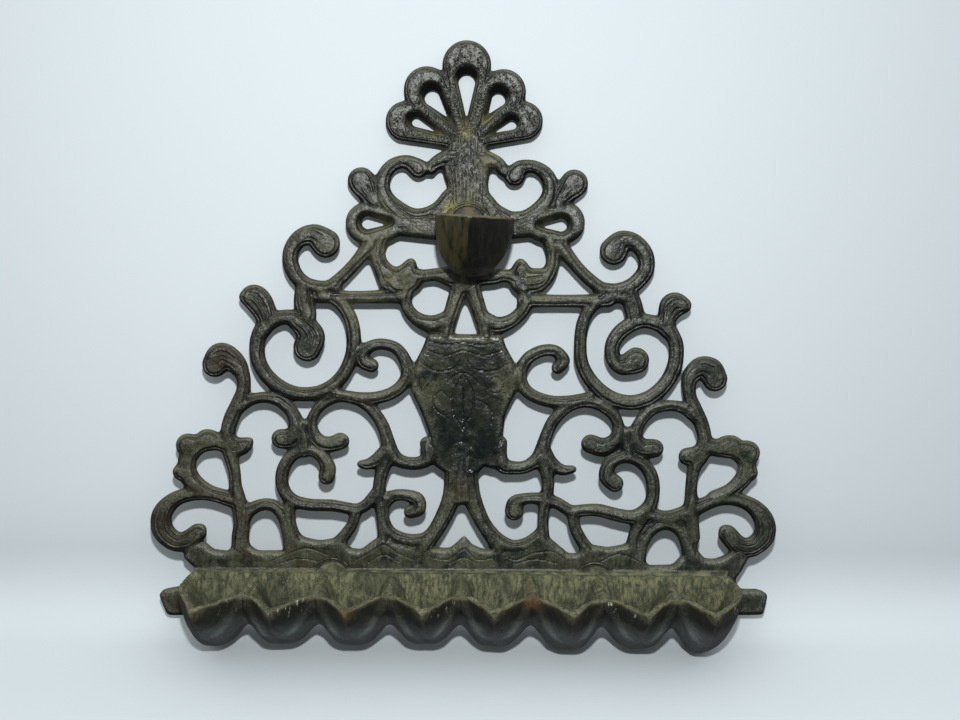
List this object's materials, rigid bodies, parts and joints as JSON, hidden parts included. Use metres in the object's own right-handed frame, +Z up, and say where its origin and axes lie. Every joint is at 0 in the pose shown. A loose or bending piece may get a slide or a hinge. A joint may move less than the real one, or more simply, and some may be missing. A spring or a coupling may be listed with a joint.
{
  "type": "wall-hung festival oil lamp",
  "caption": "Wall-hung cast brass festival oil lamp: triangular openwork back plate of scrolls under a palmette, a row of spouted oil pans along its foot and a servant pan above.",
  "frame": {"origin": "back plate's rear face on the lamp's centreline, at the height of the oil pans' rims", "axes": "+X to the right along the row of pans, +Y into the wall, +Z up"},
  "size_m": [0.2015, 0.0395, 0.1892],
  "materials": {
    "plate_brass": "cast, dark green-brown patina",
    "strip_brass": "filed, dull olive patina",
    "pan_brass": "cast, dark outside and dusty olive inside",
    "servant_brass": "cast, dark satin patina"
  },
  "bodies": {
    "root": {"back_plate": "plate_brass", "pan_strip": "strip_brass", "oil_pan_1": "pan_brass", "oil_pan_2": "pan_brass", "oil_pan_3": "pan_brass", "oil_pan_4": "pan_brass", "oil_pan_5": "pan_brass", "oil_pan_6": "pan_brass", "oil_pan_7": "pan_brass", "oil_pan_8": "pan_brass", "servant_pan": "servant_brass"}
  },
  "joints": []
}
